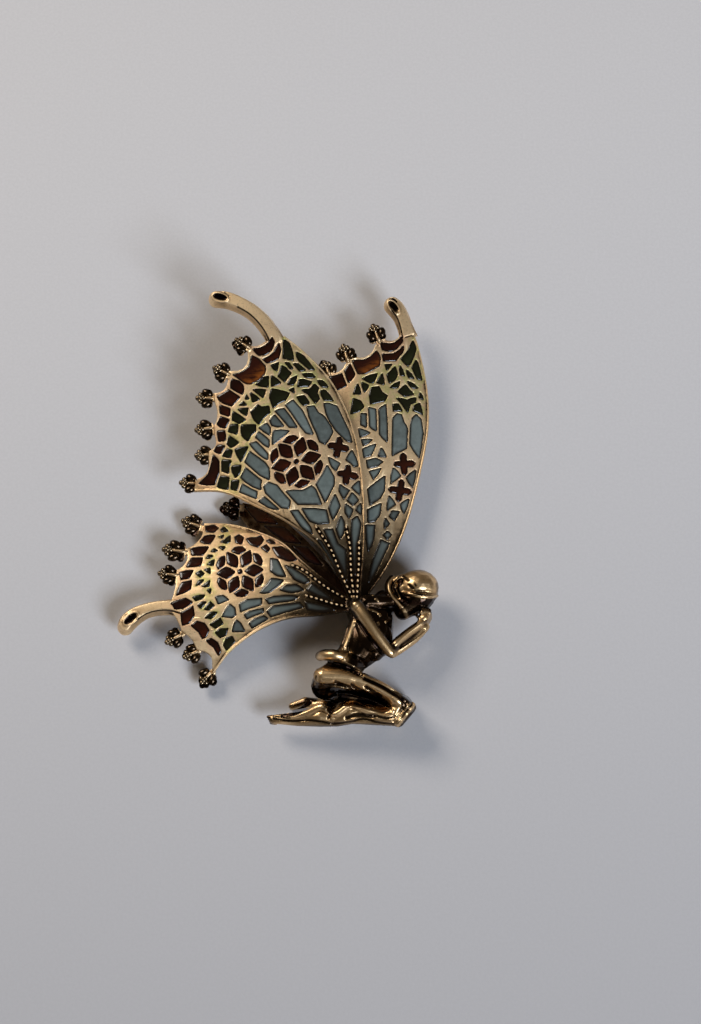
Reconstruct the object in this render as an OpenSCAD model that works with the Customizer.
// Winged fairy brooch: a kneeling cast figure with four enamelled butterfly
// wings of gothic tracery, carried on the post of a pin back. It lies face up:
// +Z is the front of the brooch, +Y runs from the knees to the wing tips, and
// z = 0 is the surface that it rests on. Millimetres throughout.
// The outlines and cells are charted as they look from view_el above the
// surface. One chart unit is a named size divided by its charted length.

/* [Overall] */
// Height above the surface of the front forewing at its root
root_z = 7; // [6.9:0.1:7.8]
// Elevation of the view in which the charts are drawn, degrees
view_el = 75; // [65:1:85]
// How far the post lies right of the middle of the brooch
post_x = 10.55; // [9:0.05:12]
// How far the post lies below the middle of the brooch
post_y = 13.65; // [12:0.05:16]

/* [Forewings] */
// Length of a forewing from its root to the corner where its tail starts
forewing_length = 38.2; // [34:0.1:42]
// Metal thickness of a wing
wing_t = 0.7; // [0.6:0.05:0.8]
// Radius of the front forewing's bend across its length
front_bend_r = 26; // [24:0.5:34]
// Rise of the front forewing towards its tip, degrees
front_tilt = 7; // [6:0.5:9]
// Radius of the rear forewing's bend across its length
rear_bend_r = 26; // [24:0.5:34]
// Rise of the rear forewing towards its tip, degrees
rear_tilt = 3; // [2:0.5:4]
// Distance of a forewing's ridge line from its root line
forewing_ridge = 4; // [3:0.5:5]

/* [Hindwings] */
// Length of a hindwing from its root to the corner where its tail starts
hindwing_length = 24.3; // [22:0.1:26]
// Radius of the front hindwing's bend across its length
hind_bend_r = 24; // [22:0.5:30]
// Fall of the front hindwing towards its tail, degrees
hind_fall = 3.5; // [2:0.5:5]
// Distance of the front hindwing's ridge line above its root line
hind_ridge = 1.5; // [0.5:0.5:2.5]
// Fall of the rear hindwing away from its root, degrees
rear_hind_fall = 7; // [5:0.5:7]
// Metal thickness of the rear hindwing
rear_hind_t = 0.6; // [0.5:0.05:0.7]

/* [Enamel] */
// Depth of the cells that hold the enamel
cell_depth = 0.35; // [0.25:0.05:0.45]
// How far the enamel lies below the wires
enamel_sink = 0.06; // [0.03:0.01:0.12]
// Clearance between enamel and metal
enamel_gap = 0.05; // [0.03:0.01:0.08]
// Width of the wires between the cells
wire_w = 0.32; // [0.28:0.02:0.4]
// Width of the rim between the cells and a wing's edge
rim_w = 0.4; // [0.36:0.02:0.5]
// Most that a cell spreads beyond its charted corners
cell_growth = 0.2; // [0.1:0.02:0.24]

/* [Relief] */
// Height of the beaded ribs above the wires
rib_rise = 0.2; // [0.1:0.05:0.3]
// Width of the beaded ribs
rib_w = 0.42; // [0.3:0.02:0.6]
// Height of a tail's face above the wires
tail_rise = 0.15; // [0.05:0.05:0.3]
// Thickness of a tail
tail_t = 1.7; // [1.4:0.1:2]
// How far a tail's foot stands out beyond its face
tail_flare = 0.4; // [0.2:0.05:0.6]
// Reach of a finial from the wing's edge to its lobes
finial_reach = 1; // [0.9:0.05:1.1]
// Radius of the two side lobes of a finial
lobe_r = 0.58; // [0.5:0.02:0.66]
// Radius of the granules at the end of a finial
granule_r = 0.4; // [0.34:0.02:0.46]
// Radius of a finial's stem
stem_pad_r = 0.44; // [0.4:0.02:0.5]

/* [Figure] */
// Size of the kneeling figure from the soles to the top of the hair
figure_size = 21.6; // [20:0.1:23]

/* [Pin back] */
// Radius of the hidden post that carries the wings
post_r = 0.55; // [0.4:0.05:0.6]
// Clearance of the post in the wings' eyes
post_gap = 0.1; // [0.08:0.02:0.15]
// Radius of the eye at each wing's root
eye_r = 1.2; // [1.1:0.05:1.4]
// Thickness of each eye
eye_t = 0.7; // [0.6:0.05:0.75]
// Clearance between stacked eyes
eye_gap = 0.25; // [0.2:0.01:0.25]
// Width of the bar
bar_w = 2.6; // [2.2:0.1:3]
// Thickness of the bar
bar_t = 0.8; // [0.6:0.05:0.8]
// Height of the bar's top face above the surface
bar_top = 2.5; // [2.4:0.05:2.5]
// Length of the bar above the post
bar_up = 18.5; // [17:0.5:20]
// Length of the bar below the post
bar_down = 4.5; // [4:0.1:5]
// Direction of the bar, degrees from +X
bar_turn = 111; // [108:1:114]
// Radius of the pin's steel stem
stem_r = 0.35; // [0.3:0.05:0.4]
// Height of the stem's axis above the surface
stem_z = 0.85; // [0.75:0.05:0.95]
// Length of the hinge block
hinge_l = 2.4; // [2:0.1:3]
// Length of the catch
catch_l = 1.6; // [1.2:0.1:2]
// Thickness of the catch's walls
catch_t = 0.4; // [0.3:0.05:0.5]
// Distance of the catch from the bar's end
catch_back = 0.6; // [0.4:0.1:1]
// Length of the stem that reaches past the catch
stem_over = 0.4; // [0.2:0.1:0.5]

/* [Hidden] */

GOLD = "#b8965a";
DARK_GOLD = "#6f5a35";
STEEL = "#a9a9a4";
BLUE = "#6a8790";
GREEN = "#22301f";
RED = "#4a1a1c";
AMBER = "#7a3c12";

// The post's place in every chart
CHART_POST = [355, 602];
// Charted length of a forewing, of a hindwing and of the figure
FORE_CHART = 283;
HIND_CHART = 180;
FIGURE_CHART = 160;
// Charted side over which a cell gets one more corner, side under which it loses one, and the
// reach in which cells are neighbours
LONG_SIDE = 7;
SHORT_SIDE = 1;
NEAR_CHART = 80;
// Tall enough for any upright cut
sky = 30;
round_fn = 180;
bead_fn = 24;
limb_fn = 14;

// Heights of the tops of the four stacked eyes, from the front one down
eye_step = eye_t + eye_gap;
front_hind_z = root_z - eye_step;
rear_fore_z = root_z - 2 * eye_step;
rear_hind_z = root_z - 3 * eye_step;

// A wing's surface: [chart unit, axis direction, rise, bend radius, ridge, root height, thickness]
fore_unit = forewing_length / FORE_CHART;
hind_unit = hindwing_length / HIND_CHART;
front_fore = [fore_unit, 106, front_tilt, front_bend_r, forewing_ridge, root_z, wing_t];
rear_fore = [fore_unit, 84, rear_tilt, rear_bend_r, forewing_ridge, rear_fore_z, wing_t];
front_hind = [hind_unit, 180, -hind_fall, hind_bend_r, -hind_ridge, front_hind_z, wing_t];
rear_hind = [hind_unit, 140, -rear_hind_fall, 3 * rear_bend_r, 0, rear_hind_z, rear_hind_t];

function unit_of(w) = w[0];
function axis_of(w) = w[1];
function tilt_of(w) = w[2];
function bend_of(w) = w[3];
function ridge_of(w) = w[4];
function root_of(w) = w[5];
function metal_of(w) = w[6];

// Height of a wing's ridge line over the post
function ridge_z(w) = root_of(w)
    + (bend_of(w) - sqrt(pow(bend_of(w), 2) - pow(ridge_of(w), 2))) / cos(tilt_of(w));

// Height of a wing's face at a plan point
function face_z(w, p) =
    let (along = p.x * cos(axis_of(w)) + p.y * sin(axis_of(w)),
         across = -p.x * sin(axis_of(w)) + p.y * cos(axis_of(w)) - ridge_of(w),
         r = bend_of(w))
    ridge_z(w) + along * tan(tilt_of(w)) + (sqrt(max(r, r * r - across * across)) - r) / cos(tilt_of(w));

// Plan place of a charted point at height z, measured from the post
function plan_at(c, z, unit) = [
    (c.x - CHART_POST.x) * unit,
    (CHART_POST.y - c.y) * unit / sin(view_el) - (z - root_z) / tan(view_el)];

// Plan place of a charted point that lies on a wing's face
function plan(w, c) =
    let (first = plan_at(c, root_of(w), unit_of(w)),
         second = plan_at(c, face_z(w, first), unit_of(w)))
    plan_at(c, face_z(w, second), unit_of(w));

function plan_all(w, chart) = [for (c = chart) plan(w, c)];

// A smooth curve through charted points, with steps points for each span
function spline(p, steps = 4) =
    let (n = len(p))
    [for (i = [0:n - 2], k = [0:i == n - 2 ? steps : steps - 1])
        let (t = k / steps,
             a = i == 0 ? 2 * p[0] - p[1] : p[i - 1],
             b = p[i],
             c = p[i + 1],
             d = i == n - 2 ? 2 * p[n - 1] - p[n - 2] : p[i + 2])
        0.5 * (2 * b + (c - a) * t + (2 * a - 5 * b + 4 * c - d) * t * t
            + (3 * b - a - 3 * c + d) * t * t * t)];

// A hollow scallop between two charted points, sagging by sag units to the right of its way
function scallop(a, b, sag, steps = 5) =
    let (way = b - a, side = [-way.y, way.x] / norm(way))
    [for (k = [1:steps - 1]) let (t = k / steps) a + way * t + side * sag * 4 * t * (1 - t)];

// Twice the signed area of an outline
function area2(p) = let (n = len(p)) sum([for (i = [0:n - 1]) cross(p[i], p[(i + 1) % n])]);
function sum(v, i = 0) = i == len(v) ? 0 : v[i] + sum(v, i + 1);
function reversed(p) = [for (i = [len(p) - 1:-1:0]) p[i]];
function counterclockwise(p) = area2(p) > 0 ? p : reversed(p);

// An outline moved inward by d
function inset(outline, d) =
    let (p = counterclockwise(outline), n = len(p))
    [for (i = [0:n - 1])
        let (e1 = p[i] - p[(i + n - 1) % n], e2 = p[(i + 1) % n] - p[i],
             n1 = [-e1.y, e1.x] / norm(e1), n2 = [-e2.y, e2.x] / norm(e2))
        p[i] + d * (n1 + n2) / max(0.1, 1 + n1 * n2)];

// Distance of a point from a closed outline
function outline_gap(p, outline) = let (n = len(outline))
    min([for (i = [0:n - 1])
        let (a = outline[i], e = outline[(i + 1) % n] - a, t = max(0, min(1, (p - a) * e / (e * e))))
        norm(p - a - t * e)]);

// An outline with one more corner in the middle of each side over longest
function refined(outline, longest) = let (n = len(outline))
    [for (i = [0:n - 1])
        let (a = outline[i], b = outline[(i + 1) % n])
        each norm(b - a) > longest ? [a, (a + b) / 2] : [a]];

// A counterclockwise outline whose corners move outward, each by its own distance
function spread(p, by) = let (n = len(p))
    [for (i = [0:n - 1])
        let (e1 = p[i] - p[(i + n - 1) % n], e2 = p[(i + 1) % n] - p[i],
             n1 = [-e1.y, e1.x] / norm(e1), n2 = [-e2.y, e2.x] / norm(e2))
        p[i] - by[i] * (n1 + n2) / max(0.6, 1 + n1 * n2)];

// An outline without the corners that follow another within least
function without_short(p, least) = let (n = len(p))
    [for (i = [0:n - 1]) if (norm(p[i] - p[(i + n - 1) % n]) > least) p[i]];

// Cells spread until one wire is left between neighbours. Each of keeps is [outline, distance]
// that stays clear of them.
function widened(cells, keeps, unit) =
    let (fine = [for (c = cells) [c[0], counterclockwise(refined(c[1], LONG_SIDE))]])
    [for (k = [0:len(fine) - 1])
        let (own = fine[k][1],
             others = [for (j = [0:len(fine) - 1])
                 if (j != k && norm(fine[j][1][0] - own[0]) < NEAR_CHART) fine[j][1]],
             by = [for (p = own)
                 let (gap = min([for (o = others) outline_gap(p, o)]),
                      room = min([for (keep = keeps) outline_gap(p, keep[0]) - keep[1] / unit]))
                 max(0, min(cell_growth / unit, (gap - wire_w / unit) / 2, room))])
        [fine[k][0], without_short(spread(own, by), SHORT_SIDE)]];

// Charted tracery motifs: a lens, a cross and the cells of a rosette
function turned(p, angle) = [p.x * cos(angle) - p.y * sin(angle), -(p.x * sin(angle) + p.y * cos(angle))];
function lens(centre, length, width, angle) = [
    for (k = [0:7])
        let (t = k < 4 ? k / 4 : (8 - k) / 4, side = k < 4 ? 1 : -1)
        centre + turned([length * (t - 0.5), side * width * 2 * t * (1 - t)], angle)];
function cross_motif(centre, arm, width, angle) = [
    for (k = [0:3], q = [[width, -width], [arm - width, -width], [arm, 0], [arm - width, width]])
        let (s = sin(90 * k), c = cos(90 * k))
        centre + turned([q.x * c - q.y * s, q.x * s + q.y * c], angle)];
function rosette(centre, r, start) = concat(
    [for (k = [0:5]) let (a = start + 60 * k)
        [RED, lens(centre + turned([r * 0.56, 0], a), r * 0.72, r * 0.44, a)]],
    [for (k = [0:5]) let (a = start + 30 + 60 * k)
        [RED, lens(centre + turned([r * 0.84, 0], a), r * 0.62, r * 0.24, a + 90)]],
    [[RED, [for (k = [0:5]) centre + turned([r * 0.09, 0], start + 60 * k)]]]);

// Front forewing: edges, scallops, finials [x, y, direction, size], tail and cells [enamel, corners]
FORE_LEAD = [[361, 598], [365, 545], [364, 485], [354, 428], [333, 381], [305, 350], [284, 333]];
FORE_LOWER = [[190, 491], [222, 492], [255, 506], [288, 523], [318, 546], [338, 577], [349, 600]];
FORE_SCALLOPS = [
    [[263, 339], [247, 342], -3], [[246, 350], [229, 369], -8], [[226, 380], [212, 391], -4],
    [[213, 402], [212, 425], -3], [[213, 436], [207, 450], -4], [[206, 461], [195, 478], -5]];
FORE_FINIALS = [
    [246, 346, 157, 1], [227, 374, 155, 1], [212, 396, 180, 1], [212, 430, 171, 1],
    [207, 456, 168, 0.9], [193, 484, 165, 0.9]];
FORE_TAIL = [[277, 341], [270, 328], [261, 316], [250, 306], [238, 299], [225, 294], [214, 293]];
FORE_TAIL_HALF = [7, 6, 5.5, 5.2, 5.2, 5.6, 5.4];
FORE_TAIL_CELL = lens([219, 292], 19, 9, -8);
FORE_RIBS = [
    [[316, 527], [331, 550], [341, 574], [352, 597]], [[346, 527], [350, 547], [351, 572], [354, 597]],
    [[359, 543], [359, 560], [358, 578], [357, 597]]];
FORE_CELLS = concat(rosette([296, 461], 27, 15), [
    [RED, [[251, 346], [260, 346], [266, 342], [271, 334], [273, 340], [270, 347], [264, 352], [258, 352]]],
    [RED, [[262, 357], [269, 355], [274, 350], [278, 341], [280, 347], [277, 355], [271, 360], [266, 360]]],
    [AMBER, [[251, 355], [258, 358], [263, 364], [264, 372], [258, 379], [250, 382], [242, 381], [232, 373],
        [240, 370], [248, 365]]],
    [RED, [[231, 378], [238, 379], [242, 384], [241, 392], [230, 386]]],
    [RED, [[215, 395], [227, 389], [237, 396], [230, 404], [222, 401]]],
    [RED, [[219, 405], [228, 408], [228, 415], [219, 412]]],
    [RED, [[219, 416], [228, 419], [224, 427], [215, 423]]],
    [RED, [[217, 431], [223, 430], [224, 440], [218, 440]]],
    [RED, [[215, 445], [222, 446], [219, 452], [212, 450]]],
    [RED, [[212, 456], [217, 461], [217, 472], [213, 484], [197, 483], [206, 474]]],
    [GREEN, [[270, 363], [277, 361], [276, 369]]],
    [GREEN, [[270, 373], [279, 381], [271, 384]]],
    [GREEN, [[263, 375], [268, 374], [267, 385], [254, 383]]],
    [GREEN, [[252, 388], [264, 389], [262, 395]]],
    [GREEN, [[249, 391], [258, 398], [252, 400]]],
    [GREEN, [[245, 393], [248, 398], [244, 398]]],
    [GREEN, [[238, 404], [242, 400], [246, 404]]],
    [GREEN, [[237, 408], [247, 407], [245, 413]]],
    [GREEN, [[232, 411], [243, 419], [238, 423], [231, 419]]],
    [GREEN, [[229, 424], [237, 423], [235, 432], [228, 430]]],
    [GREEN, [[228, 436], [236, 442], [230, 447], [226, 443]]],
    [GREEN, [[226, 449], [231, 450], [229, 456], [222, 455]]],
    [GREEN, [[221, 460], [229, 461], [227, 472], [221, 470]]],
    [GREEN, [[219, 476], [227, 478], [226, 488], [216, 486]]],
    [GREEN, [[271, 388], [279, 390], [288, 392], [284, 398], [277, 401], [273, 405], [270, 396]]],
    [GREEN, [[251, 411], [257, 405], [260, 407], [267, 406], [268, 411], [262, 416], [258, 422], [254, 418]]],
    [GREEN, [[240, 424], [246, 425], [254, 425], [254, 430], [249, 434], [247, 440], [242, 434]]],
    [GREEN, [[234, 449], [246, 447], [243, 454], [240, 460], [237, 454]]],
    [GREEN, [[230, 466], [239, 466], [238, 474], [235, 476], [232, 471]]],
    [GREEN, [[231, 481], [237, 481], [235, 489], [231, 488]]],
    [GREEN, [[282, 336], [288, 341], [293, 358], [283, 355]]],
    [GREEN, [[296, 350], [302, 354], [313, 367], [308, 367], [298, 358]]],
    [GREEN, [[292, 361], [297, 361], [306, 368], [299, 369]]],
    [GREEN, [[284, 360], [288, 361], [293, 367], [289, 367]]],
    [GREEN, [[281, 364], [285, 365], [290, 371], [284, 379], [278, 374]]],
    [GREEN, [[288, 382], [290, 377], [296, 374], [293, 383]]],
    [GREEN, [[301, 371], [311, 372], [315, 375], [304, 375]]],
    [GREEN, [[298, 384], [299, 378], [303, 377], [310, 380], [308, 384]]],
    [GREEN, [[289, 388], [293, 386], [293, 390]]],
    [GREEN, [[301, 388], [309, 388], [314, 383], [318, 386], [316, 391], [318, 397], [315, 400], [308, 391]]],
    [GREEN, [[298, 396], [303, 395], [309, 402], [303, 404]]],
    [GREEN, [[320, 389], [324, 388], [333, 399], [324, 398]]],
    [GREEN, [[317, 378], [321, 379], [328, 385], [322, 384]]],
    [BLUE, [[324, 402], [328, 401], [336, 405], [348, 430], [351, 440], [344, 438], [329, 420]]],
    [BLUE, [[306, 405], [313, 405], [317, 412], [325, 416], [331, 425], [332, 431], [325, 444], [320, 440],
        [313, 425]]],
    [BLUE, [[286, 404], [292, 400], [301, 410], [313, 433], [306, 431], [296, 419]]],
    [BLUE, [[275, 410], [283, 408], [290, 416], [296, 426], [289, 426]]],
    [BLUE, [[270, 420], [274, 414], [283, 425], [271, 425]]],
    [BLUE, [[273, 430], [289, 430], [280, 437], [272, 444]]],
    [BLUE, [[260, 427], [266, 423], [270, 427], [269, 434]]],
    [BLUE, [[256, 436], [258, 432], [268, 440], [268, 446], [262, 442]]],
    [BLUE, [[249, 443], [255, 442], [267, 454], [267, 459], [259, 453]]],
    [BLUE, [[245, 461], [249, 452], [264, 463], [268, 468], [268, 478], [260, 474]]],
    [BLUE, [[240, 477], [245, 469], [260, 481], [260, 489], [252, 486]]],
    [BLUE, [[240, 491], [242, 485], [256, 492], [255, 497]]],
    [BLUE, [[263, 486], [268, 483], [276, 486], [289, 501], [288, 508], [281, 508], [266, 492]]],
    [BLUE, [[260, 501], [264, 498], [280, 510], [268, 506]]],
    [RED, cross_motif([338, 446], 11, 2, -12)],
    [RED, cross_motif([347, 474], 10.5, 2, -12)],
    [BLUE, [[329, 457], [334, 459], [339, 463], [336, 471], [332, 466]]],
    [BLUE, [[347, 459], [352, 449], [358, 465], [354, 466]]],
    [BLUE, [[327, 465], [333, 477], [333, 484], [325, 501], [317, 484], [323, 474]]],
    [BLUE, [[335, 495], [339, 506], [333, 519], [329, 508]]],
    [BLUE, [[340, 484], [349, 490], [344, 498], [340, 490]]],
    [BLUE, [[359, 481], [360, 494], [353, 487]]],
    [BLUE, [[352, 493], [358, 500], [353, 505], [348, 500]]],
    [BLUE, [[346, 504], [353, 509], [349, 518], [346, 512]]],
    [BLUE, [[356, 510], [361, 503], [361, 514]]],
    [BLUE, [[341, 516], [345, 528], [340, 539], [337, 529]]],
    [BLUE, [[286, 491], [302, 491], [311, 486], [315, 489], [320, 503], [298, 503]]],
    [BLUE, [[303, 509], [326, 510], [328, 522], [318, 523], [310, 520]]],
    [BLUE, [[291, 511], [297, 511], [309, 527], [312, 534], [302, 526]]],
    [BLUE, [[318, 540], [321, 540], [334, 560], [344, 583], [333, 567]]],
    [BLUE, [[325, 530], [332, 530], [337, 544], [345, 550], [347, 583], [336, 554]]],
    [BLUE, [[352, 520], [357, 517], [360, 524], [357, 545], [355, 574], [353, 574], [352, 545]]],
]);

// Rear forewing: only the stretch right of the front wing is charted in full
REAR_LEAD = [[366, 600], [390, 565], [409, 522], [423, 470], [431, 425], [430, 385], [421, 341], [411, 315]];
REAR_LOWER = [[322, 371], [306, 390], [298, 425], [303, 470], [322, 520], [342, 570], [352, 600]];
REAR_SCALLOPS = [
    [[402, 328], [385, 334], -4], [[376, 340], [354, 352], -6], [[345, 360], [331, 369], -3]];
REAR_FINIALS = [[380, 337, 110, 1], [349, 357, 102, 1], [327, 371, 110, 1]];
REAR_TAIL = [[411, 330], [407, 318], [403, 308], [398, 300], [394, 296]];
REAR_TAIL_HALF = [7, 5.6, 5.6, 6.4, 6.2];
REAR_TAIL_CELL = lens([395, 297], 17, 9, -55);
REAR_CELLS = [
    [RED, [[379, 336], [389, 339], [396, 338], [404, 330], [404, 336], [398, 343], [391, 346], [384, 344]]],
    [RED, [[384, 350], [395, 350], [402, 345], [405, 340], [404, 347], [397, 355], [385, 356]]],
    [GREEN, [[415, 335], [417, 344], [413, 357], [410, 361], [403, 354], [411, 346]]],
    [GREEN, [[418, 355], [420, 362], [423, 375], [419, 375], [415, 363]]],
    [AMBER, [[352, 356], [363, 356], [371, 352], [377, 346], [381, 354], [379, 361], [366, 369], [359, 369]]],
    [RED, [[350, 361], [354, 371], [349, 378], [345, 367]]],
    [RED, [[330, 374], [341, 371], [345, 382], [336, 386]]],
    [GREEN, [[387, 361], [393, 360], [388, 366]]],
    [GREEN, [[389, 371], [396, 363], [399, 370], [395, 376], [391, 378]]],
    [GREEN, [[363, 375], [378, 370], [374, 379], [370, 379]]],
    [GREEN, [[383, 370], [384, 380], [378, 379]]],
    [GREEN, [[362, 379], [369, 382], [365, 388]]],
    [GREEN, [[358, 380], [360, 390], [355, 390]]],
    [GREEN, [[401, 360], [405, 371], [402, 371]]],
    [GREEN, [[408, 365], [417, 375], [411, 373]]],
    [GREEN, [[409, 377], [420, 384], [413, 383]]],
    [GREEN, [[391, 384], [401, 378], [399, 383]]],
    [GREEN, [[401, 388], [407, 382], [414, 390], [406, 392]]],
    [GREEN, [[422, 389], [425, 396], [421, 394]]],
    [GREEN, [[373, 385], [379, 384], [382, 390], [387, 393], [385, 397], [372, 400], [371, 392]]],
    [GREEN, [[354, 397], [360, 399], [363, 404], [359, 408], [352, 410]]],
    [GREEN, [[398, 395], [409, 398], [418, 394], [417, 398], [411, 400], [409, 408], [404, 401]]],
    [GREEN, [[395, 402], [399, 401], [403, 408], [395, 408]]],
    [GREEN, [[417, 403], [421, 401], [424, 411], [416, 407]]],
    [BLUE, [[370, 406], [376, 407], [377, 429], [371, 424]]],
    [BLUE, [[380, 407], [386, 403], [388, 440], [381, 432]]],
    [BLUE, [[395, 416], [398, 411], [402, 412], [404, 420], [409, 427], [407, 446], [394, 453]]],
    [BLUE, [[415, 416], [418, 412], [422, 417], [424, 430], [421, 456], [412, 442], [412, 426]]],
    [BLUE, [[362, 412], [366, 412], [366, 424], [362, 422]]],
    [BLUE, [[360, 428], [370, 431], [361, 434]]],
    [BLUE, [[363, 439], [373, 438], [364, 443]]],
    [BLUE, [[364, 448], [376, 443], [371, 453], [365, 455]]],
    [BLUE, [[382, 447], [386, 455], [380, 454]]],
    [BLUE, [[368, 460], [376, 458], [382, 461], [378, 465], [369, 466]]],
    [BLUE, [[371, 471], [382, 467], [374, 477]]],
    [BLUE, [[369, 489], [385, 476], [384, 490], [380, 497], [371, 503]]],
    [BLUE, [[369, 510], [381, 504], [379, 515], [375, 520], [369, 521]]],
    [BLUE, [[394, 466], [401, 475], [392, 482]]],
    [BLUE, [[408, 477], [417, 469], [414, 486]]],
    [BLUE, [[390, 496], [395, 504], [388, 510]]],
    [BLUE, [[402, 504], [410, 499], [405, 513]]],
    [BLUE, [[393, 511], [399, 512], [395, 519], [391, 516]]],
    [BLUE, [[386, 518], [389, 524], [385, 529]]],
    [BLUE, [[385, 535], [388, 532], [391, 535], [388, 539]]],
    [BLUE, [[382, 541], [389, 544], [375, 573], [368, 584], [374, 560]]],
    [BLUE, [[367, 526], [374, 526], [373, 540], [368, 552]]],
    [RED, cross_motif([405, 463], 10.5, 1.9, 4)],
    [RED, cross_motif([401, 490], 10.5, 1.9, -8)],
];

// Front hindwing
HIND_UPPER = [[351, 598], [328, 582], [302, 561], [282, 543], [255, 531], [228, 524], [201, 523]];
HIND_LOWER = [[213, 674], [230, 652], [258, 631], [288, 619], [320, 616], [352, 611]];
HIND_SCALLOPS = [
    [[199, 535], [185, 548], -2], [[185, 558], [175, 570], -2], [[174, 583], [170, 600], -0.5],
    [[170, 612], [180, 631], -1], [[184, 634], [195, 650], -2], [[199, 651], [211, 667], -5]];
HIND_FINIALS = [
    [198, 528, 160, 1.1], [184, 552, 175, 1.1], [175, 577, 175, 1], [181, 634, 205, 1],
    [197, 651, 200, 1], [211, 673, 230, 1.1]];
HIND_TAIL = [[181, 607], [168, 606], [155, 607], [143, 610], [133, 615], [126, 621], [123, 626]];
HIND_TAIL_HALF = [7, 5, 4.5, 4.8, 6, 6.4, 5.4];
HIND_TAIL_CELL = lens([127, 619], 19, 10, 35);
HIND_RIBS = [
    [[292, 566], [305, 572], [325, 587], [347, 600]], [[306, 596], [320, 600], [333, 604], [347, 607]]];
HIND_CELLS = concat(rosette([239, 572], 25, 5), [
    [RED, [[202, 526], [211, 525], [216, 528], [211, 532], [204, 531]]],
    [RED, [[202, 536], [212, 536], [207, 543], [197, 542]]],
    [RED, [[188, 549], [205, 548], [200, 555], [190, 555]]],
    [RED, [[190, 559], [200, 559], [198, 565], [185, 567]]],
    [RED, [[178, 573], [190, 572], [187, 578], [180, 579]]],
    [RED, [[181, 584], [189, 582], [188, 589], [175, 596]]],
    [RED, [[169, 604], [184, 600], [190, 603], [182, 608], [174, 609]]],
    [RED, [[181, 614], [191, 608], [192, 616], [187, 623], [182, 625]]],
    [RED, [[192, 626], [196, 623], [203, 625], [207, 631], [205, 637], [202, 638], [199, 632]]],
    [RED, [[206, 641], [210, 640], [216, 644], [219, 652], [218, 655], [214, 647]]],
    [GREEN, [[218, 530], [221, 528], [225, 531], [220, 532]]],
    [GREEN, [[217, 537], [222, 535], [220, 539]]],
    [GREEN, [[218, 542], [227, 537], [227, 541], [224, 543]]],
    [GREEN, [[216, 547], [223, 547], [221, 549]]],
    [GREEN, [[209, 552], [212, 550], [216, 551]]],
    [GREEN, [[204, 559], [207, 556], [212, 556]]],
    [GREEN, [[206, 565], [213, 560], [211, 565]]],
    [GREEN, [[203, 570], [208, 569], [208, 573]]],
    [GREEN, [[196, 574], [199, 572], [202, 574], [199, 577]]],
    [GREEN, [[195, 586], [198, 582], [203, 580], [199, 585]]],
    [GREEN, [[200, 587], [208, 582], [208, 587]]],
    [GREEN, [[206, 590], [210, 589], [209, 593]]],
    [GREEN, [[193, 598], [203, 596], [201, 599], [195, 600]]],
    [GREEN, [[198, 606], [201, 603], [206, 602], [200, 609]]],
    [GREEN, [[203, 610], [209, 602], [212, 606], [208, 610]]],
    [GREEN, [[205, 618], [209, 614], [216, 613], [210, 618]]],
    [GREEN, [[211, 625], [219, 620], [221, 624], [215, 628]]],
    [GREEN, [[216, 633], [219, 630], [226, 630], [225, 635], [220, 637]]],
    [GREEN, [[224, 645], [226, 639], [231, 638], [233, 642], [226, 649]]],
    [RED, [[234, 538], [237, 536], [241, 538], [239, 543], [235, 542]]],
    [RED, [[245, 539], [255, 539], [259, 537], [262, 540], [256, 546], [250, 544]]],
    [RED, [[265, 541], [268, 540], [275, 544]]],
    [RED, [[262, 548], [265, 546], [268, 549], [266, 551]]],
    [RED, [[272, 548], [280, 548], [290, 552], [296, 560], [287, 560], [278, 556]]],
    [BLUE, [[216, 598], [222, 597], [226, 600], [218, 603]]],
    [BLUE, [[229, 606], [233, 609], [234, 615], [231, 617], [223, 616], [226, 610]]],
    [BLUE, [[236, 622], [239, 624], [243, 631], [233, 631], [234, 626]]],
    [BLUE, [[240, 605], [247, 601], [260, 600], [260, 604], [250, 608], [241, 611]]],
    [BLUE, [[245, 615], [249, 612], [262, 610], [262, 612], [247, 618]]],
    [BLUE, [[250, 624], [254, 620], [263, 617], [266, 619], [252, 627]]],
    [BLUE, [[271, 560], [276, 561], [284, 576], [277, 575], [271, 571]]],
    [BLUE, [[260, 593], [267, 586], [271, 580], [282, 581], [275, 587], [268, 592]]],
    [BLUE, [[285, 566], [291, 568], [305, 577], [308, 581], [304, 583], [295, 579]]],
    [BLUE, [[280, 590], [286, 587], [295, 586], [303, 590], [292, 592]]],
    [BLUE, [[267, 600], [273, 598], [285, 597], [298, 597], [290, 601], [269, 603]]],
    [BLUE, [[268, 612], [273, 607], [285, 605], [299, 604], [302, 607], [283, 612], [271, 616]]],
    [BLUE, [[308, 590], [312, 585], [328, 596], [333, 601], [320, 597]]],
    [BLUE, [[306, 603], [322, 606], [336, 610], [324, 612], [308, 609]]],
]);

// Rear hindwing: a dark leaf of which a strip shows above the front hindwing
REAR_HIND_OUTLINE = [
    [240, 502], [262, 507], [285, 522], [306, 541], [327, 563], [346, 588], [354, 598], [344, 606],
    [318, 598], [284, 573], [258, 546], [243, 525], [233, 511]];
REAR_HIND_FINIALS = [[238, 508, 180, 1.3]];
REAR_HIND_CELLS = [
    [RED, [[243, 507], [262, 512], [276, 524], [256, 521]]],
    [RED, [[262, 526], [282, 529], [300, 544], [284, 541]]],
    [RED, [[292, 547], [306, 549], [322, 566], [308, 561]]],
];

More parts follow.
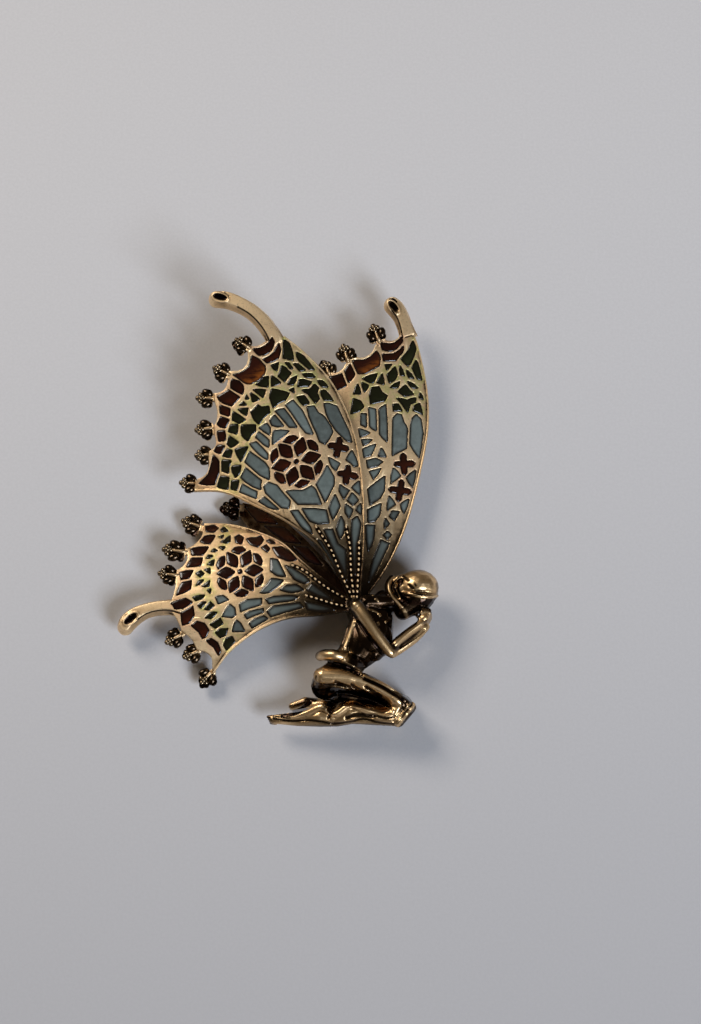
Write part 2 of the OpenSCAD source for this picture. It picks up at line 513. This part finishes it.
// The figure's broad forms and its limbs, each a list of [x, y, height, radius] in chart units.
// A form is the smooth skin over its balls. A limb runs from ball to ball.
FORMS = [
    // chest and waist
    [[366, 622, 42, 17], [379, 620, 38, 15], [372, 640, 40, 21]],
    [[367, 643, 40, 18], [355, 659, 38, 14], [366, 652, 34, 14]],
    [[355, 659, 38, 14], [329, 679, 42, 15], [326, 685, 38, 15], [334, 684, 26, 17]],
    // neck and far shoulder
    [[370, 612, 38, 9], [382, 612, 30, 11], [384, 600, 36, 10], [394, 600, 38, 8]],
    // forearms and hands, cast together as one deep wall
    [[390, 651, 54, 5], [398, 642, 52, 4], [392, 654, 28, 5], [404, 647, 28, 4]],
    [[398, 642, 52, 4], [420, 625, 46, 4], [404, 647, 28, 4], [424, 628, 28, 4]],
    [[420, 625, 46, 4], [426, 613, 42, 6], [424, 628, 28, 4], [428, 618, 30, 5]],
    // head and hair
    [[404, 588, 38, 14], [421, 588, 38, 18], [424, 592, 38, 15], [401, 595, 38, 12]],
    [[419, 596, 38, 17], [405, 608, 38, 12], [403, 613, 38, 8]],
    // knees
    [[399, 703, 42, 9], [396, 715, 40, 10], [402, 706, 10.8, 11], [395, 714, 12, 11]],
];
LIMBS = [
    // shoulder over the wings' post
    [[356, 605, 62, 7.5], [364, 615, 56, 9]],
    // near upper arm
    [[358, 608, 62, 5.5], [375, 632, 60, 5.5], [389, 650, 55, 5.5]],
    // far upper arm
    [[378, 620, 29, 6], [391, 653, 29, 5]],
    // rolled peplum at the hips
    [[322, 656, 24, 5], [327, 655, 40, 6], [341, 656, 52, 6], [354, 662, 52, 5.5], [363, 664, 40, 4]],
    // near thigh
    [[329, 679, 42, 14], [352, 682, 45, 11], [376, 690, 45, 10], [399, 703, 42, 9]],
    // near lower leg, its drapery and foot
    [[396, 715, 40, 10], [372, 715, 37, 9], [352, 712, 36, 11], [336, 718, 32, 8], [321, 716, 30, 10.5],
        [300, 719, 26, 7], [273, 719, 24, 4.5]],
    // far thigh
    [[334, 684, 26, 17], [372, 694, 20, 12], [402, 706, 10.8, 11]],
    // far lower leg and foot
    [[395, 714, 12, 11], [360, 709, 9, 9], [325, 707, 7, 7], [305, 704, 5.5, 5.5], [292, 708, 4, 4]],
];
// Clear ring round the wings' eyes, and how far over them the shoulder passes
shoulder_clear = 0.2;
shoulder_lift = 0.1;

// A wing's charted edge from its leading root round to its lower root
function wing_edge(lead, scallops, lower) = concat(
    spline(lead),
    [for (s = scallops) each concat([s[0]], scallop(s[0], s[1], s[2]), [s[1]])],
    spline(lower));

// A wing's cells, clear of its edge and of its ribs
function wing_cells(w, cells, edge, ribs) =
    widened(cells, concat([[edge, rim_w]], [for (r = ribs) [spline(r, 2), rib_w / 2]]), unit_of(w));

// A tail's face: a band along its middle line with a round tip
function band(line, half) =
    let (n = len(line),
         way = [for (i = [0:n - 1])
             let (d = line[min(i + 1, n - 1)] - line[max(i - 1, 0)]) d / norm(d)],
         tip = way[n - 1])
    concat(
        [for (i = [0:n - 1]) line[i] + half[i] * [way[i].y, -way[i].x]],
        [for (k = [1:5]) let (a = 90 - 30 * k)
            line[n - 1] + half[n - 1] * (cos(a) * tip + sin(a) * [tip.y, -tip.x])],
        [for (i = [n - 1:-1:0]) line[i] - half[i] * [way[i].y, -way[i].x]]);

// All that lies under a wing's bent face, lifted by lift
module under_face(w, lift) {
    translate([0, 0, ridge_z(w)])
        rotate([0, 0, axis_of(w)])
            translate([0, ridge_of(w), 0])
                rotate([0, -tilt_of(w), 0])
                    translate([-sky, 0, -bend_of(w)])
                        rotate([0, 90, 0])
                            cylinder(r = bend_of(w) + lift, h = 3 * sky, $fn = round_fn);
}

// Upright walls on a plan outline, cut to the layer between two lifts of the face
module layer(w, outline, low, high) {
    difference() {
        intersection() {
            translate([0, 0, -sky / 2]) linear_extrude(height = 2 * sky) polygon(outline);
            under_face(w, high);
        }
        under_face(w, low);
    }
}

// The cells of one enamel, or of all for undef, as upright prisms
module prisms(w, cells, enamel, shrink) {
    for (c = cells)
        if (is_undef(enamel) || c[0] == enamel)
            translate([0, 0, -sky / 2])
                linear_extrude(height = 2 * sky)
                    polygon(inset(plan_all(w, c[1]), shrink));
}

// The recesses of a wing: everything over the floor of its cells
module recesses(w, cells, lift) {
    difference() {
        prisms(w, cells, undef, 0);
        under_face(w, lift - cell_depth);
    }
}

// The enamel of one colour that fills a wing's cells
module enamel(w, cells, colour) {
    difference() {
        intersection() {
            prisms(w, cells, colour, enamel_gap);
            under_face(w, -enamel_sink);
        }
        under_face(w, enamel_gap - cell_depth);
    }
}

// The pads of a finial: [outward, sideways, radius, height], the radius as it is,
// the rest as shares of its reach
FINIAL_PADS = [
    [-0.1, 0, stem_pad_r, 0.8],
    [0.4, 0, stem_pad_r, 0.8],
    [0.7, 0.72, lobe_r, 0.9],
    [0.7, -0.72, lobe_r, 0.9],
    [1.15, 0, lobe_r, 1],
    [1.6, 0.38, granule_r, 0.9],
    [1.6, -0.38, granule_r, 0.9],
    [1.95, 0.04, granule_r, 0.8],
];

// A crocket at the wing's edge: a stem, two side lobes and a cluster of granules, as upright pads
module finial(w, f) {
    reach = f[3] * finial_reach;
    p = plan(w, [f[0], f[1]]);
    out = [cos(f[2]), sin(f[2])];
    side = [-out.y, out.x];
    middle = face_z(w, p + reach * out) - metal_of(w) / 2;
    for (b = FINIAL_PADS)
        let (q = p + reach * (b[0] * out + b[1] * side))
            translate([q.x, q.y, middle - reach * b[3] / 2])
                cylinder(r = b[2] * f[3], h = reach * b[3], $fn = bead_fn);
}

// The eye that hangs a wing on the post
module eye(w) {
    translate([0, 0, root_of(w) - eye_t]) cylinder(r = eye_r, h = eye_t, $fn = round_fn);
}

module eye_hole() {
    cylinder(r = post_r + post_gap, h = sky, $fn = round_fn);
}

// A raised rib along a charted line
module rib(w, line) {
    outline = plan_all(w, spline(line, 3));
    layer(w, band(outline, [for (p = outline) rib_w / 2]), -cell_depth, rib_rise);
}

// A tail from its foot up to a height over the wires, widened by flare
module tail_piece(w, tail, half, flare, high) {
    wide = [for (h = half) h + flare / unit_of(w)];
    layer(w, plan_all(w, band(tail, wide)), tail_rise - tail_t, high);
}

// One wing's casting with its tail, finials, ribs, eye and open cells
module wing(w, edge, tail, tail_half, tail_cell, finials, ribs, cells) {
    translate([post_x, -post_y, 0])
        difference() {
            union() {
                layer(w, plan_all(w, edge), -metal_of(w), 0);
                tail_piece(w, tail, tail_half, 0, tail_rise);
                tail_piece(w, tail, tail_half, tail_flare / 2, tail_rise - tail_t / 3);
                tail_piece(w, tail, tail_half, tail_flare, tail_rise - 2 * tail_t / 3);
                eye(w);
                for (f = finials) finial(w, f);
                for (r = ribs) rib(w, r);
            }
            recesses(w, wing_cells(w, cells, edge, ribs), 0);
            recesses(w, [[RED, tail_cell]], tail_rise);
            eye_hole();
        }
}

// The enamel of one colour in one wing
module wing_enamel(w, edge, ribs, cells, colour) {
    color(colour)
        translate([post_x, -post_y, 0]) enamel(w, wing_cells(w, cells, edge, ribs), colour);
}

module front_forewing() {
    color(GOLD)
        wing(front_fore, wing_edge(FORE_LEAD, FORE_SCALLOPS, FORE_LOWER),
            FORE_TAIL, FORE_TAIL_HALF, FORE_TAIL_CELL, FORE_FINIALS, FORE_RIBS, FORE_CELLS);
}

module front_forewing_enamel(colour) {
    wing_enamel(front_fore, wing_edge(FORE_LEAD, FORE_SCALLOPS, FORE_LOWER), FORE_RIBS, FORE_CELLS, colour);
}

module rear_forewing() {
    color(GOLD)
        wing(rear_fore, wing_edge(REAR_LEAD, REAR_SCALLOPS, REAR_LOWER),
            REAR_TAIL, REAR_TAIL_HALF, REAR_TAIL_CELL, REAR_FINIALS, [], REAR_CELLS);
}

module rear_forewing_enamel(colour) {
    wing_enamel(rear_fore, wing_edge(REAR_LEAD, REAR_SCALLOPS, REAR_LOWER), [], REAR_CELLS, colour);
}

module front_hindwing() {
    color(GOLD)
        wing(front_hind, wing_edge(HIND_UPPER, HIND_SCALLOPS, HIND_LOWER),
            HIND_TAIL, HIND_TAIL_HALF, HIND_TAIL_CELL, HIND_FINIALS, HIND_RIBS, HIND_CELLS);
}

module front_hindwing_enamel(colour) {
    wing_enamel(front_hind, wing_edge(HIND_UPPER, HIND_SCALLOPS, HIND_LOWER), HIND_RIBS, HIND_CELLS, colour);
}

module rear_hindwing() {
    color(DARK_GOLD)
        translate([post_x, -post_y, 0])
            difference() {
                union() {
                    layer(rear_hind, plan_all(rear_hind, REAR_HIND_OUTLINE), -rear_hind_t, 0);
                    eye(rear_hind);
                    for (f = REAR_HIND_FINIALS) finial(rear_hind, f);
                }
                recesses(rear_hind, wing_cells(rear_hind, REAR_HIND_CELLS, REAR_HIND_OUTLINE, []), 0);
                eye_hole();
            }
}

module rear_hindwing_enamel() {
    wing_enamel(rear_hind, REAR_HIND_OUTLINE, [], REAR_HIND_CELLS, RED);
}

// One ball of the figure's forms
module ball(j, unit) {
    z = j[2] * unit;
    p = plan_at(j, z, unit);
    translate([p.x, p.y, z]) sphere(r = j[3] * unit, $fn = limb_fn);
}

// The kneeling figure, cast in one piece round the wings' eyes
module figure() {
    unit = figure_size / FIGURE_CHART;
    color(GOLD)
        translate([post_x, -post_y, 0])
            difference() {
                union() {
                    for (form = FORMS)
                        hull() for (j = form) ball(j, unit);
                    for (limb = LIMBS, i = [0:len(limb) - 2])
                        hull() for (j = [limb[i], limb[i + 1]]) ball(j, unit);
                }
                translate([0, 0, -1])
                    cylinder(r = eye_r + shoulder_clear, h = root_z + shoulder_lift + 1, $fn = 48);
            }
}

// Bar with post, hinge block, stem and catch: one plain piece
module pin_back() {
    bar_low = bar_top - bar_t;
    hinge_x = -bar_down + hinge_l / 2;
    catch_x = bar_up - catch_l / 2 - catch_back;
    post_top = root_z + shoulder_lift / 2;
    color(STEEL)
        translate([post_x, -post_y, 0])
            union() {
                translate([0, 0, bar_low + bar_t / 2])
                    cylinder(r = post_r, h = post_top - bar_low - bar_t / 2, $fn = round_fn);
                rotate([0, 0, bar_turn]) {
                    translate([-bar_down, -bar_w / 2, bar_low]) cube([bar_down + bar_up, bar_w, bar_t]);
                    translate([hinge_x - hinge_l / 2, -bar_w / 2, 0])
                        cube([hinge_l, bar_w, bar_low + bar_t / 2]);
                    translate([hinge_x, 0, stem_z]) rotate([0, 90, 0])
                        cylinder(r = stem_r, h = catch_x + catch_l / 2 + stem_over - hinge_x, $fn = 48);
                    translate([catch_x - catch_l / 2, bar_w / 2 - catch_t, 0])
                        cube([catch_l, catch_t, bar_low + bar_t / 2]);
                    translate([catch_x - catch_l / 2, -bar_w / 2 + catch_t, 0])
                        cube([catch_l, bar_w - catch_t, catch_t]);
                }
            }
}

pin_back();
figure();
front_forewing();
front_forewing_enamel(BLUE);  // front_forewing_blue
front_forewing_enamel(GREEN);  // front_forewing_green
front_forewing_enamel(RED);  // front_forewing_red
front_forewing_enamel(AMBER);  // front_forewing_amber
front_hindwing();
front_hindwing_enamel(BLUE);  // front_hindwing_blue
front_hindwing_enamel(GREEN);  // front_hindwing_green
front_hindwing_enamel(RED);  // front_hindwing_red
rear_forewing();
rear_forewing_enamel(BLUE);  // rear_forewing_blue
rear_forewing_enamel(GREEN);  // rear_forewing_green
rear_forewing_enamel(RED);  // rear_forewing_red
rear_forewing_enamel(AMBER);  // rear_forewing_amber
rear_hindwing();
rear_hindwing_enamel();  // rear_hindwing_red
